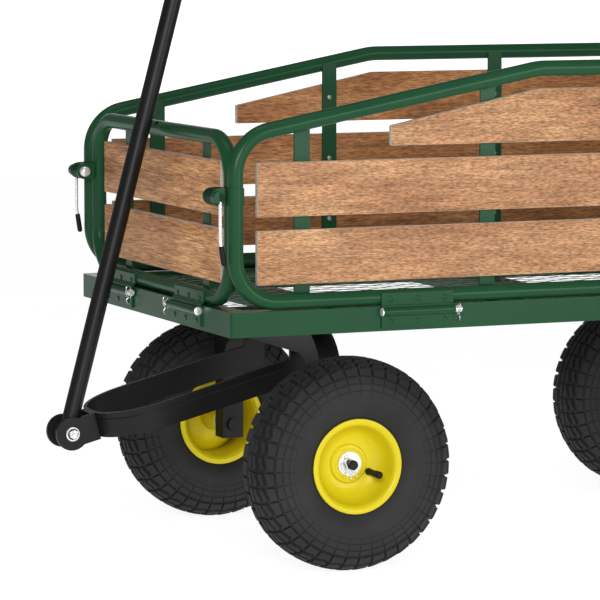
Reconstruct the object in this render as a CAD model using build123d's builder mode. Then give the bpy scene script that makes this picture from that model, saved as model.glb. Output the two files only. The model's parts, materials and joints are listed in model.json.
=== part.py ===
from build123d import *
import os
from math import cos, hypot, radians, sin, tan

# A four-wheeled garden cart with a mesh deck, fold-down slatted sides and a pull handle.
# Millimetres. +X is the handle end, +Y the cart's left side, +Z up; the floor is z = 0.

# Deck
deck_length = 930.0
deck_width = 515.4
deck_top = 323.0
lip_height = 30.0
lip_radius = 4.0
sheet = 2.0
flange_width = 24.0
mesh_thickness = 2.5
mesh_tuck = 10.0
mesh_rise = 0.5
mesh_columns = 12
mesh_rows = 9
mesh_strand = 5.0
beam_width = 27.0
beam_wall = 2.5
bolster_length = 110.0
bolster_width = 90.0
bolster_thickness = 4.0

# Wheels and axles
tyre_radius = 130.0
tyre_half_width = 42.5
tyre_wall = 8.0
tread_half_width = 12.0
tread_rubber = 3.0
sidewall_foot = 5.0
sidewall_turn = 2.0
shoulder_step = 11.0
wheelbase = 641.0
track = 437.6
front_overhang = 166.0
rim_flange_radius = 57.9
rim_half_width = 34.0
rim_barrel_radius = 50.0
rim_wall = 2.5
bead_rise = 3.0
dish_depth = 30.0
dish_round = 6.0
hub_radius = 23.7
hub_shoulder = 12.0
hub_cone = 3.0
hub_outer_end = 8.0
bearing_radius = 13.0
bearing_length = 12.0
bearing_flange_radius = 14.8
bearing_flange = 2.0
axle_radius = 6.0
axle_head_radius = 8.0
axle_head = 4.0
axle_chamfer = 1.0
washer_radius = 12.0
washer = 2.0
cotter_radius = 1.5
cotter_length = 24.0
cotter_eye = 4.0
valve_radius = 4.5
valve_tip_radius = 3.2
valve_length = 38.0
valve_circle = 29.2
valve_angle = 203.0

# Axle arches
leg_inner = 145.0
leg_width = 27.0
leg_depth = 28.0
arch_bar = 35.0
arch_sheet = 3.0
arch_corner = 62.0
arch_inner_corner = 48.0
leg_below_axle = 18.0
steering_washer_radius = 32.0
steering_washer_thickness = 2.0
kingpin_radius = 6.0
kingpin_head_radius = 10.4
kingpin_head = 9.0

# Tongue, clevis and handle
pivot_ahead = 113.7
pivot_height = 154.5
tongue_pitch = 14.5
tongue_half_width = 78.0
tongue_height = 31.0
tongue_sheet = 5.0
tongue_lift = 1.0
tongue_corner = 66.5
tongue_setback = 34.0
clevis_half_width = 20.0
clevis_sheet = 4.0
clevis_radius = 20.5
clevis_height = 34.0
handle_radius = 10.6
handle_lean = 15.0
handle_length = 700.0
handle_eye_radius = 14.0
loop_radius = 9.5
loop_width = 150.0
loop_height = 82.0
loop_corner = 22.0
grip_radius = 14.0
grip_length = 62.0
pivot_bolt_radius = 6.0
pivot_flange_radius = 9.2
pivot_flange = 1.5
pivot_head_radius = 8.2
pivot_head = 6.0
pivot_bolt_overhang = 2.5

# Slatted panels
tube_radius = 9.5
tube_corner = 52.0
side_front_rail = 536.0
side_front_rail_at = 50.0
side_top_rail = 603.4
side_rail_kink = 407.0
rail_kink_radius = 90.0
front_gate_rail = 526.0
gate_inset = 3.5
panel_gap = 1.0
post_width = 20.0
post_thickness = 3.0
post_spacing = 244.5
gate_post_offset = 133.0
slat_height = 64.6
slat_thickness = 8.4
slat_setback = 8.7
gate_slat_ahead = 3.2
slat_pitch = 80.7
first_slat = 353.0
slat_end_gap = 18.6
top_slat_start = 211.0
top_slat_nose = 24.0

# Hinges
leaf_length = 95.0
leaf_sheet = 2.5
leaf_lower = 297.0
leaf_upper = 339.0
hinge_height = 316.5
barrel_radius = 5.0
barrel_wall = 2.0
barrel_clear = 0.2
knuckle_length = 31.0
hinge_pin_overhang = 9.0
hinge_head = 3.0
clip_radius = 0.9
clip_height = 19.0
clip_tail = 14.0
clip_gap = 1.2
side_hinge_from_end = 241.0
gate_hinge_offset = 117.0

# Corner latches
latch_height = 459.0
latch_band = 21.0
latch_sheet = 2.5
keeper_sheet = 1.2
latch_width = 27.2
latch_outboard = 8.0
latch_bolt_ahead = 13.8
latch_ear_radius = 10.0
latch_bolt_radius = 3.0
latch_head_radius = 4.4
latch_head = 2.0
latch_nut_radius = 6.8
latch_nut = 7.0
cam_throw = 0.8
cam_thickness = 8.0
lever_radius = 1.9
lever_drop = 81.0
lever_kick = 4.5
lever_slant = 22.0
lever_grip_radius = 3.8
lever_grip_length = 24.0

# Clearances
running = 0.08
seat = 0.3
weld = 0.5
press = 0.05

# Places that follow from the sizes above
barrel_offset = barrel_radius + barrel_clear
hinge_reach = barrel_offset + barrel_radius
latch_reach = latch_bolt_ahead + latch_ear_radius - gate_inset
front_reach = pivot_ahead + clevis_radius
rear_reach = max(hinge_reach, latch_reach)
deck_front = (deck_length + rear_reach - front_reach) / 2
deck_rear = deck_front - deck_length
deck_middle = (deck_front + deck_rear) / 2
deck_side = deck_width / 2
deck_bottom = deck_top - lip_height
mesh_top = deck_top - sheet
mesh_bottom = mesh_top - mesh_thickness
front_axle_x = deck_front - front_overhang
rear_axle_x = front_axle_x - wheelbase
axle_height = tyre_radius
half_track = track / 2
leg_outer = leg_inner + leg_width
hub_inner_end = half_track - leg_outer - washer - seat - bearing_flange
axle_end = rim_half_width
bolster_bottom = deck_bottom - bolster_thickness
arch_top = bolster_bottom - steering_washer_thickness
pivot_x = deck_front + pivot_ahead
panel_base = deck_top + tube_radius + seat
side_tube = deck_side - tube_radius
gate_tube = side_tube - 2 * tube_radius - panel_gap
slat_levels = [first_slat + slat_pitch * n for n in range(3)]
slat_outer = side_tube + tube_radius - slat_setback
rear_gate_rail = side_top_rail


def save(builder, name):
    builder.part.label = name
    export_step(builder.part, f"parts/{name}.step")


os.makedirs("parts", exist_ok=True)


# Deck: a folded rim of sheet with an expanded-metal floor on cross beams
with BuildPart() as deck_frame:
    with BuildSketch(Plane.XY.offset(deck_bottom)):
        with Locations((deck_middle, 0)):
            RectangleRounded(deck_length, deck_width, lip_radius)
    extrude(amount=lip_height)
    with BuildSketch(Plane.XY.offset(deck_bottom)):
        with Locations((deck_middle, 0)):
            RectangleRounded(deck_length - 2 * sheet, deck_width - 2 * sheet, lip_radius - sheet / 2)
    extrude(amount=lip_height - sheet, mode=Mode.SUBTRACT)
    with BuildSketch(Plane.XY.offset(mesh_top)):
        with Locations((deck_middle, 0)):
            Rectangle(deck_length - 2 * flange_width, deck_width - 2 * flange_width)
    extrude(amount=sheet, mode=Mode.SUBTRACT)
save(deck_frame, "deck_frame")

# The diamonds fill the window inside the flange, with the strands between them
window_length = deck_length - 2 * flange_width
window_width = deck_width - 2 * flange_width
cell_x = window_length / mesh_columns / 2
cell_y = window_width / mesh_rows / 2
cell_edge = hypot(cell_x, cell_y)
gap_x = cell_x - mesh_strand / 2 * cell_edge / cell_y
gap_y = cell_y - mesh_strand / 2 * cell_edge / cell_x


def strands(level, margin, thickness):
    """A sheet of diamonds whose edge stands out past the window by the margin."""
    with BuildSketch(Plane.XY.offset(level)) as sheet_face:
        with Locations((deck_middle, 0)):
            Rectangle(window_length + 2 * margin, window_width + 2 * margin)
            with GridLocations(2 * cell_x, 2 * cell_y, mesh_columns, mesh_rows):
                Polygon((gap_x, 0), (0, gap_y), (-gap_x, 0), (0, -gap_y), mode=Mode.SUBTRACT)
            with GridLocations(2 * cell_x, 2 * cell_y, mesh_columns - 1, mesh_rows - 1):
                Polygon((gap_x, 0), (0, gap_y), (-gap_x, 0), (0, -gap_y), mode=Mode.SUBTRACT)
    extrude(sheet_face.sketch, amount=thickness)


# Its edge is tucked under the flange, and the floor itself rises a little inside the window
with BuildPart() as deck_mesh:
    strands(mesh_bottom, mesh_tuck, mesh_thickness)
    strands(mesh_top, -seat, mesh_rise)
save(deck_mesh, "deck_mesh")

# Three cross beams of folded channel, open below, between the deck's side lips
beam_places = [(x, 0) for x in (front_axle_x, (front_axle_x + rear_axle_x) / 2, rear_axle_x)]
beam_height = mesh_bottom - deck_bottom
with BuildPart() as deck_cross_beams:
    with BuildSketch(Plane.XY.offset(deck_bottom)):
        with Locations(*beam_places):
            Rectangle(beam_width, deck_width - 2 * sheet)
    extrude(amount=beam_height)
    with BuildSketch(Plane.XY.offset(deck_bottom)):
        with Locations(*beam_places):
            Rectangle(beam_width - 2 * beam_wall, deck_width - 2 * sheet)
    extrude(amount=beam_height - beam_wall, mode=Mode.SUBTRACT)
save(deck_cross_beams, "deck_cross_beams")

# Steering: a bolster plate under the front beam, a washer and the kingpin
with BuildPart() as front_bolster:
    with BuildSketch(Plane.XY.offset(bolster_bottom)):
        with Locations((front_axle_x, 0)):
            RectangleRounded(bolster_width, bolster_length, steering_washer_radius / 4)
            Circle(kingpin_radius + running, mode=Mode.SUBTRACT)
    extrude(amount=bolster_thickness)
save(front_bolster, "front_bolster")

with BuildPart() as steering_washer:
    with BuildSketch(Plane.XY.offset(arch_top)):
        with Locations((front_axle_x, 0)):
            Circle(steering_washer_radius)
            Circle(kingpin_radius + running, mode=Mode.SUBTRACT)
    extrude(amount=steering_washer_thickness)
save(steering_washer, "steering_washer")

kingpin_seat = arch_top - arch_sheet - running
with BuildPart() as kingpin_bolt:
    with BuildSketch(Plane.XY.offset(kingpin_seat - kingpin_head)):
        with Locations((front_axle_x, 0)):
            RegularPolygon(kingpin_head_radius, 6)
    extrude(amount=kingpin_head)
    with BuildSketch(Plane.XY.offset(kingpin_seat)):
        with Locations((front_axle_x, 0)):
            Circle(kingpin_radius)
    extrude(amount=deck_bottom + kingpin_head + kingpin_radius / 2 - kingpin_seat)
save(kingpin_bolt, "kingpin_bolt")

with BuildPart() as kingpin_nut:
    with BuildSketch(Plane.XY.offset(deck_bottom)):
        with Locations((front_axle_x, 0)):
            RegularPolygon(beam_width / 2 - beam_wall - seat, 6)
            Circle(kingpin_radius + press, mode=Mode.SUBTRACT)
    extrude(amount=kingpin_head)
save(kingpin_nut, "kingpin_nut")


# Axle arches: an inverted U pressed from sheet, open at the back, with stub axles in its legs
def arch(name, axle_x, top, pin_hole):
    facing = Plane.YZ.offset(axle_x - leg_depth / 2)
    foot = axle_height - leg_below_axle
    with BuildPart() as piece:
        with BuildSketch(facing):
            with Locations((0, (top + foot) / 2)):
                Rectangle(2 * leg_outer, top - foot)
            with Locations((0, (top - arch_bar + foot) / 2)):
                Rectangle(2 * leg_inner, top - arch_bar - foot, mode=Mode.SUBTRACT)
        extrude(amount=leg_depth)
        upright = piece.edges().filter_by(Axis.X)
        fillet(upright.group_by(Axis.Z)[-1], arch_corner)
        inside = piece.edges().filter_by(Axis.X).filter_by_position(Axis.Z, foot + seat, top - seat)
        fillet(inside.group_by(Axis.Z)[-1], arch_inner_corner)
        back = piece.faces().sort_by(Axis.X)[0]
        offset(amount=-arch_sheet, openings=back)
        with BuildSketch(Plane.XZ.offset(-leg_outer)):
            with Locations((axle_x, axle_height)):
                Circle(axle_radius + press)
        extrude(amount=2 * leg_outer, mode=Mode.SUBTRACT)
        if pin_hole:
            with BuildSketch(Plane.XY.offset(top)):
                with Locations((axle_x, 0)):
                    Circle(kingpin_radius + running)
            extrude(amount=-arch_sheet, mode=Mode.SUBTRACT)
    save(piece, name)


arch("front_axle_arch", front_axle_x, arch_top, True)
arch("rear_axle_arch", rear_axle_x, deck_bottom, False)


def wheel_plane(axle_x, side):
    """Across the wheel: local x runs outward from the wheel's middle, local y is the radius."""
    return Plane(origin=(axle_x, side * half_track, axle_height), x_dir=(0, side, 0), z_dir=(side, 0, 0))


def axle_line(axle_x):
    return Axis((axle_x, 0, axle_height), (0, 1, 0))


def turn(axle_x, side, outline):
    """Revolve an outline of (outward, radius) points about the axle."""
    with BuildSketch(wheel_plane(axle_x, side)) as profile:
        with BuildLine():
            Polyline(*outline, close=True)
        make_face()
    revolve(profile.sketch, axis=axle_line(axle_x))


def stub_axles(name, axle_x):
    inner = leg_inner - half_track
    outline = [
        (inner - axle_head, 0),
        (inner - axle_head, axle_head_radius),
        (inner, axle_head_radius),
        (inner, axle_radius),
        (axle_end - axle_chamfer, axle_radius),
        (axle_end, axle_radius - axle_chamfer),
        (axle_end, 0),
    ]
    with BuildPart() as piece:
        for side in (1, -1):
            turn(axle_x, side, outline)
            with BuildSketch(Plane.XY.offset(axle_height)):
                with Locations((axle_x, side * (half_track + cotter_place))):
                    Circle(cotter_radius + press)
            extrude(amount=axle_radius, both=True, mode=Mode.SUBTRACT)
    save(piece, name)


cotter_place = hub_outer_end + bearing_flange + seat + washer + cotter_radius + seat
inner_washer = leg_outer - half_track
outer_washer = hub_outer_end + bearing_flange + seat


def axle_washers(name, axle_x):
    with BuildPart() as piece:
        for side in (1, -1):
            for place in (inner_washer, outer_washer):
                with BuildSketch(wheel_plane(axle_x, side)):
                    with Locations((place + washer / 2, (washer_radius + axle_radius + press) / 2)):
                        Rectangle(washer, washer_radius - axle_radius - press)
                revolve(axis=axle_line(axle_x))
    save(piece, name)


def cotter_pins(name, axle_x):
    with BuildPart() as piece:
        for side in (1, -1):
            y = side * (half_track + cotter_place)
            top = axle_height + axle_radius + cotter_radius
            with BuildSketch(Plane.XY.offset(top)):
                with Locations((axle_x, y)):
                    Circle(cotter_radius)
            extrude(amount=-cotter_length)
            with Locations(Plane(origin=(axle_x, y, top + cotter_eye), z_dir=(0, 1, 0))):
                Torus(cotter_eye, cotter_radius)
    save(piece, name)


for end, axle_x in (("front", front_axle_x), ("rear", rear_axle_x)):
    stub_axles(f"{end}_axle", axle_x)
    axle_washers(f"{end}_axle_washers", axle_x)
    cotter_pins(f"{end}_cotter_pins", axle_x)


# Wheels: a dished steel rim on flanged bearings with a pneumatic tyre
web_face = rim_half_width - dish_depth
bead = rim_barrel_radius + bead_rise
flange_lip = bead - rim_wall - weld
barrel_half = rim_half_width - 2 * rim_wall - weld
flange_inner = rim_half_width - rim_wall


def rim_profile():
    inner_wall = rim_barrel_radius - rim_wall
    return [
        (rim_half_width, rim_flange_radius),
        (rim_half_width, flange_lip),
        (barrel_half, inner_wall),
        (web_face + dish_round, inner_wall - rim_wall / 2),
        (web_face, hub_radius + hub_shoulder),
        (web_face, hub_radius),
        (hub_outer_end, hub_radius - hub_cone),
        (hub_outer_end, bearing_radius),
        (-hub_inner_end, bearing_radius),
        (-hub_inner_end, bearing_radius + rim_wall),
        (web_face - rim_wall, bearing_radius + rim_wall),
        (web_face - rim_wall, hub_radius + hub_shoulder),
        (web_face + dish_round / 2, inner_wall),
        (-barrel_half, inner_wall),
        (-rim_half_width, flange_lip),
        (-rim_half_width, rim_flange_radius),
        (-flange_inner, rim_flange_radius),
        (-flange_inner, bead),
        (-barrel_half, rim_barrel_radius),
        (barrel_half, rim_barrel_radius),
        (flange_inner, bead),
        (flange_inner, rim_flange_radius),
    ]


def tyre_profile():
    """The heights are shares of the way from the rim's flange to the crown."""
    crown = tyre_radius - rim_flange_radius
    outside = [
        (barrel_half - press, rim_barrel_radius + press),
        (flange_inner - press, bead + press),
        (flange_inner - press, rim_flange_radius + weld),
        (tyre_half_width - sidewall_foot, rim_flange_radius + 0.12 * crown),
        (tyre_half_width, rim_flange_radius + 0.36 * crown),
        (tyre_half_width - sidewall_turn, rim_flange_radius + 0.63 * crown),
        (tyre_half_width - shoulder_step, rim_flange_radius + 0.87 * crown),
        (tread_half_width, tyre_radius),
    ]
    inside = [
        (tread_half_width, tyre_radius - tyre_wall - tread_rubber),
        (tyre_half_width - tyre_wall - sidewall_foot, rim_flange_radius + 0.69 * crown),
        (tyre_half_width - tyre_wall, rim_flange_radius + 0.36 * crown),
        (flange_inner - tyre_wall, rim_flange_radius),
        (flange_inner - tyre_wall, rim_barrel_radius + press),
    ]
    near = outside + [(-a, r) for a, r in reversed(outside)]
    far = [(-a, r) for a, r in reversed(inside)]
    return near + far + inside


def bearing_profile(place, outward):
    sleeve = place - outward * bearing_length
    rim_of_flange = place + outward * bearing_flange
    return [
        (sleeve, axle_radius + running),
        (sleeve, bearing_radius - press),
        (place, bearing_radius - press),
        (place, bearing_flange_radius),
        (rim_of_flange, bearing_flange_radius),
        (rim_of_flange, axle_radius + running),
    ]


def wheel(name, axle_x, side):
    valve_x = axle_x + valve_circle * cos(radians(valve_angle))
    valve_z = axle_height + valve_circle * sin(radians(valve_angle))
    valve_base = Plane(origin=(valve_x, side * (half_track + web_face), valve_z), z_dir=(0, side, 0))
    with BuildPart() as rim:
        turn(axle_x, side, rim_profile())
        with BuildSketch(valve_base):
            Circle(valve_radius + press)
        extrude(amount=rim_wall * 3, both=True, mode=Mode.SUBTRACT)
    save(rim, f"{name}_rim")
    with BuildPart() as tyre:
        turn(axle_x, side, tyre_profile())
    save(tyre, f"{name}_tyre")
    with BuildPart() as bearings:
        turn(axle_x, side, bearing_profile(hub_outer_end, 1))
        turn(axle_x, side, bearing_profile(-hub_inner_end, -1))
    save(bearings, f"{name}_bearings")
    with BuildPart() as valve:
        with BuildSketch(valve_base.offset(-rim_wall)):
            Circle(valve_radius)
        with BuildSketch(valve_base.offset(valve_length - rim_wall)):
            Circle(valve_tip_radius)
        loft()
    save(valve, f"{name}_valve")


wheel("front_left", front_axle_x, 1)
wheel("front_right", front_axle_x, -1)
wheel("rear_left", rear_axle_x, 1)
wheel("rear_right", rear_axle_x, -1)


# Tongue: a flat strap on edge, bent to a U whose arms run back and up under the front arch
slope = radians(tongue_pitch)
tongue_plane = Plane(
    origin=(pivot_x, 0, pivot_height),
    x_dir=(cos(slope), 0, -sin(slope)),
    z_dir=(sin(slope), 0, cos(slope)),
)
arch_back = front_axle_x - leg_depth / 2
bar_bottom = arch_top - arch_bar
strap_top = tongue_height / 2 + tongue_lift
tongue_rear = (arch_back - pivot_x) / cos(slope) - tongue_height
with BuildPart() as tongue:
    with BuildSketch(tongue_plane.offset(strap_top - tongue_height)):
        with BuildLine() as strap:
            FilletPolyline(
                (tongue_rear, tongue_half_width - tongue_sheet / 2),
                (-tongue_setback - tongue_sheet / 2, tongue_half_width - tongue_sheet / 2),
                (-tongue_setback - tongue_sheet / 2, tongue_sheet / 2 - tongue_half_width),
                (tongue_rear, tongue_sheet / 2 - tongue_half_width),
                radius=tongue_corner,
            )
        trace(line_width=tongue_sheet)
    extrude(amount=tongue_height)
    with BuildSketch(Plane.YZ.offset(arch_back)):
        with Locations((0, arch_top)):
            Rectangle(2 * leg_outer, 4 * arch_top)
    extrude(amount=-4 * tongue_height, mode=Mode.SUBTRACT)
    arm_level = pivot_height + (pivot_x - front_axle_x) * tan(slope) + tongue_lift
    with BuildSketch(Plane.YZ.offset(arch_back)):
        with Locations((0, (bar_bottom + arm_level) / 2)):
            with GridLocations(2 * tongue_half_width - tongue_sheet, 0, 2, 1):
                Rectangle(tongue_sheet, bar_bottom - arm_level)
    extrude(amount=leg_depth)
save(tongue, "tongue")

with BuildPart() as clevis:
    for side in (1, -1):
        with BuildSketch(Plane.XZ.offset(-side * clevis_half_width)):
            with Locations((pivot_x, pivot_height)):
                Circle(clevis_radius)
                with Locations(Location((0, 0), tongue_pitch * -1)):
                    with Locations((-tongue_setback / 2, 0)):
                        Rectangle(tongue_setback, clevis_height)
        extrude(amount=side * clevis_sheet)
    with BuildSketch(tongue_plane.offset(strap_top - tongue_height)):
        with Locations((-tongue_setback + clevis_sheet / 2, 0)):
            Rectangle(clevis_sheet, 2 * clevis_half_width)
    extrude(amount=tongue_height)
    with BuildSketch(Plane.XZ.offset(-clevis_half_width)):
        with Locations((pivot_x, pivot_height)):
            Circle(pivot_bolt_radius + running)
    extrude(amount=2 * clevis_half_width, mode=Mode.SUBTRACT)
save(clevis, "clevis")

with BuildPart() as handle_pivot_bolt:
    for side in (1, -1):
        with BuildSketch(Plane.XZ.offset(-side * (clevis_half_width + running))):
            with Locations((pivot_x, pivot_height)):
                Circle(pivot_flange_radius)
        extrude(amount=-side * pivot_flange)
        with BuildSketch(Plane.XZ.offset(-side * (clevis_half_width + running))):
            with Locations((pivot_x, pivot_height)):
                RegularPolygon(pivot_head_radius, 6)
        extrude(amount=-side * pivot_head)
    with BuildSketch(Plane.XZ.offset(-clevis_half_width - pivot_head - pivot_bolt_overhang)):
        with Locations((pivot_x, pivot_height)):
            Circle(pivot_bolt_radius)
    extrude(amount=2 * (clevis_half_width + pivot_head) + pivot_bolt_overhang)
save(handle_pivot_bolt, "handle_pivot_bolt")

# Handle: one leaning tube with an eye at the foot and a D loop with a sleeve at the top
lean = radians(handle_lean)
along = Vector(-sin(lean), 0, cos(lean))
pivot = Vector(pivot_x, 0, pivot_height)
handle_foot = Plane(origin=pivot, x_dir=(0, 1, 0), z_dir=along)
loop_plane = Plane(origin=pivot + along * handle_length, x_dir=(0, 1, 0), z_dir=(cos(lean), 0, sin(lean)))
eye_half = clevis_half_width - clevis_sheet - seat
with BuildPart() as handle_tube:
    with BuildSketch(handle_foot):
        Circle(handle_radius)
    extrude(amount=handle_length)
    with BuildSketch(Plane.XZ.offset(-eye_half)):
        with Locations((pivot_x, pivot_height)):
            Circle(handle_eye_radius)
    extrude(amount=2 * eye_half)
    with BuildLine(loop_plane) as loop:
        FilletPolyline(
            (-loop_width / 2, loop_height),
            (-loop_width / 6, 0),
            (loop_width / 6, 0),
            (loop_width / 2, loop_height),
            radius=loop_corner,
            close=True,
        )
    with BuildSketch(Plane(origin=loop.line @ 0, z_dir=loop.line % 0)):
        Circle(loop_radius)
    sweep(path=loop.line)
    with BuildSketch(Plane.XZ.offset(-eye_half)):
        with Locations((pivot_x, pivot_height)):
            Circle(pivot_bolt_radius + running)
    extrude(amount=2 * eye_half, mode=Mode.SUBTRACT)
save(handle_tube, "handle_tube")

grip_middle = pivot + along * (handle_length + loop_height)
with BuildPart() as handle_grip:
    with BuildSketch(Plane(origin=grip_middle, x_dir=along, z_dir=(0, 1, 0))):
        Circle(grip_radius)
        Circle(loop_radius + press, mode=Mode.SUBTRACT)
    extrude(amount=grip_length / 2, both=True)
save(handle_grip, "handle_grip")


# Hinges: local x points out from the deck's face, local y up, and the pin runs along local z
def hinge_plane(face, along_edge, outward):
    """outward is (1, 0), (-1, 0) for the ends and (0, 1), (0, -1) for the sides."""
    ox, oy = outward
    origin = (face, along_edge, 0) if ox else (along_edge, face, 0)
    return Plane(origin=origin, x_dir=(ox, oy, 0), z_dir=(oy, -ox, 0))


side_hinges = [deck_front - side_hinge_from_end, deck_rear + side_hinge_from_end]
gate_hinges = [gate_hinge_offset, -gate_hinge_offset]
hinge_places = {
    "left": [hinge_plane(deck_side, x, (0, 1)) for x in side_hinges],
    "right": [hinge_plane(-deck_side, x, (0, -1)) for x in side_hinges],
    "front": [hinge_plane(deck_front, y, (1, 0)) for y in gate_hinges],
    "rear": [hinge_plane(deck_rear, y, (-1, 0)) for y in gate_hinges],
}
outer_knuckle = (leaf_length - knuckle_length) / 2


def round_bar(plane, start, length, radius, mode=Mode.ADD):
    """A round bar or bore along the hinge's axis."""
    with BuildSketch(plane.offset(start)) as section:
        with Locations((barrel_offset, hinge_height)):
            Circle(radius)
    extrude(section.sketch, amount=length, mode=mode)


def barrel(plane, start, length):
    round_bar(plane, start, length, barrel_radius)


def bore(plane):
    round_bar(plane, -leaf_length, 2 * leaf_length, barrel_radius - barrel_wall, Mode.SUBTRACT)


def notch(plane, start, length):
    """Room in one leaf for the other leaf's knuckle."""
    round_bar(plane, start, length, barrel_radius + seat, Mode.SUBTRACT)


def lower_leaf(plane):
    half = leaf_length / 2
    with BuildSketch(plane.offset(-half)) as plate:
        with Locations((leaf_sheet / 2, (leaf_lower + hinge_height) / 2)):
            Rectangle(leaf_sheet, hinge_height - leaf_lower)
    extrude(plate.sketch, amount=leaf_length)
    notch(plane, -knuckle_length / 2 - seat, knuckle_length + 2 * seat)
    barrel(plane, -half, outer_knuckle - seat)
    barrel(plane, half, seat - outer_knuckle)
    bore(plane)


def upper_leaf(plane, inset):
    """A plate from the knuckle up past the deck's edge, cranked back to the tube by the panel's inset."""
    half = leaf_length / 2
    crank = deck_top + seat
    back = inset + weld
    with BuildSketch(plane.offset(-half)) as plate:
        with BuildLine():
            Polyline(
                (seat, hinge_height),
                (seat, crank),
                (-back, crank + back + seat),
                (-back, leaf_upper),
                (leaf_sheet - back, leaf_upper),
                (leaf_sheet - back, crank + back + 2 * seat),
                (leaf_sheet + seat, crank + seat),
                (leaf_sheet + seat, hinge_height),
                close=True,
            )
        make_face()
    extrude(plate.sketch, amount=leaf_length)
    notch(plane, -half, outer_knuckle)
    notch(plane, half, -outer_knuckle)
    barrel(plane, -knuckle_length / 2, knuckle_length)
    bore(plane)


with BuildPart() as hinge_lower_leaves:
    for planes in hinge_places.values():
        for plane in planes:
            lower_leaf(plane)
save(hinge_lower_leaves, "hinge_lower_leaves")


def head_sign(plane):
    """The pin's head points away from the middle of its panel."""
    away = plane.origin.X - deck_middle if abs(plane.z_dir.X) > 0.5 else plane.origin.Y
    direction = plane.z_dir.X + plane.z_dir.Y
    return 1 if away * direction > 0 else -1


pin_radius = barrel_radius - barrel_wall - running
clip_place = leaf_length / 2 + hinge_pin_overhang / 2
clip_width = hinge_pin_overhang / 2 + clip_radius + clip_gap
with BuildPart() as hinge_pins:
    for planes in hinge_places.values():
        for plane in planes:
            sign = head_sign(plane)
            half = leaf_length / 2
            with BuildSketch(plane.offset(sign * (half + seat))):
                with Locations((barrel_offset, hinge_height)):
                    Circle(pin_radius)
            extrude(amount=-sign * (leaf_length + hinge_pin_overhang))
            with BuildSketch(plane.offset(sign * (half + seat))):
                with Locations((barrel_offset, hinge_height)):
                    Circle(barrel_radius)
            extrude(amount=sign * hinge_head)
            clip_hole = plane.location * Location((barrel_offset, 0, -sign * clip_place))
            with BuildSketch(Plane.XY.offset(hinge_height - barrel_radius)):
                with Locations((clip_hole.position.X, clip_hole.position.Y)):
                    Circle(clip_radius + running)
            extrude(amount=2 * barrel_radius, mode=Mode.SUBTRACT)
save(hinge_pins, "hinge_pins")

# Hairpin clips: a straight leg down through the pin and a shorter one past the pin's end
with BuildPart() as hinge_clips:
    for planes in hinge_places.values():
        for plane in planes:
            sign = head_sign(plane)
            foot = plane.location * Location((barrel_offset, 0, -sign * clip_place))
            outward = plane.z_dir * -sign
            upright = Plane(origin=foot.position, x_dir=outward, z_dir=outward.cross(Vector(0, 0, 1)))
            top = hinge_height + barrel_radius + clip_radius
            with BuildLine(upright) as wire:
                FilletPolyline(
                    (0, top - clip_height),
                    (0, top),
                    (clip_width, top),
                    (clip_width, top - clip_tail),
                    radius=clip_width / 2 - clip_radius / 2,
                )
            with BuildSketch(Plane(origin=wire.line @ 0, z_dir=wire.line % 0)):
                Circle(clip_radius)
            sweep(path=wire.line)
save(hinge_clips, "hinge_clips")


# Slatted panels: a bent tube loop with flat posts behind wooden slats
def tube_loop(plane, corners, radii):
    with BuildLine(plane) as path:
        FilletPolyline(*corners, radius=radii, close=True)
    with BuildSketch(Plane(origin=path.line @ 0, z_dir=path.line % 0)) as section:
        Circle(tube_radius)
    sweep(section.sketch, path=path.line)


side_front = deck_front - tube_radius
side_rear = deck_rear + tube_radius
rail_kink = deck_front - side_rail_kink
rail_from = deck_front - side_front_rail_at
rail_slope = (side_top_rail - side_front_rail) / (rail_from - rail_kink)
side_corner_rail = side_front_rail - rail_slope * (side_front - rail_from)
post_first = deck_middle + 1.5 * post_spacing
post_places = [post_first - post_spacing * n for n in range(4)]


def rail_height(x):
    return min(side_top_rail, side_front_rail + rail_slope * (rail_from - x))


def side_frame(name, side):
    corners = [
        (side_front, panel_base),
        (side_front, side_corner_rail),
        (rail_kink, side_top_rail),
        (side_rear, side_top_rail),
        (side_rear, panel_base),
    ]
    radii = [tube_corner, tube_corner, rail_kink_radius, tube_corner, tube_corner]
    behind = side * (slat_outer - slat_thickness)
    with BuildPart() as piece:
        tube_loop(Plane.XZ.offset(-side * side_tube), corners, radii)
        for x in post_places:
            top = rail_height(x)
            with BuildSketch(Plane.XZ.offset(-behind)):
                with Locations((x, (panel_base + top) / 2)):
                    Rectangle(post_width, top - panel_base)
            extrude(amount=side * post_thickness)
        for plane in hinge_places[name]:
            upper_leaf(plane, 0)
        for x in (side_front, side_rear):
            with BuildSketch(Plane.XY.offset(latch_height - latch_band / 2)):
                with Locations((x, side * side_tube)):
                    Circle(tube_radius + keeper_sheet)
                    Circle(tube_radius - weld, mode=Mode.SUBTRACT)
                    with Locations((0, -side * (tube_radius + keeper_sheet))):
                        Rectangle(4 * tube_radius, 2 * (tube_radius - keeper_sheet), mode=Mode.SUBTRACT)
            extrude(amount=latch_band)
    save(piece, f"{name}_side_frame")


def slat(plane, outline, thickness):
    with BuildSketch(plane) as face:
        with BuildLine():
            Polyline(*outline, close=True)
        make_face()
    extrude(face.sketch, amount=thickness)


def side_slats(name, side):
    face = Plane.XZ.offset(-side * slat_outer)
    front = side_front - tube_radius - slat_end_gap
    rear = side_rear + tube_radius + slat_end_gap
    nose = deck_front - top_slat_start
    with BuildPart() as piece:
        for level in slat_levels[:2]:
            outline = [(front, level), (front, level + slat_height), (rear, level + slat_height), (rear, level)]
            slat(face, outline, side * slat_thickness)
        level = slat_levels[2]
        bend = rail_kink
        outline = [
            (nose, level),
            (nose, level + top_slat_nose),
            (bend, level + slat_height),
            (rear, level + slat_height),
            (rear, level),
        ]
        slat(face, outline, side * slat_thickness)
    save(piece, f"{name}_side_slats")


for name, side in (("left", 1), ("right", -1)):
    side_frame(name, side)
    side_slats(name, side)


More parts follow.
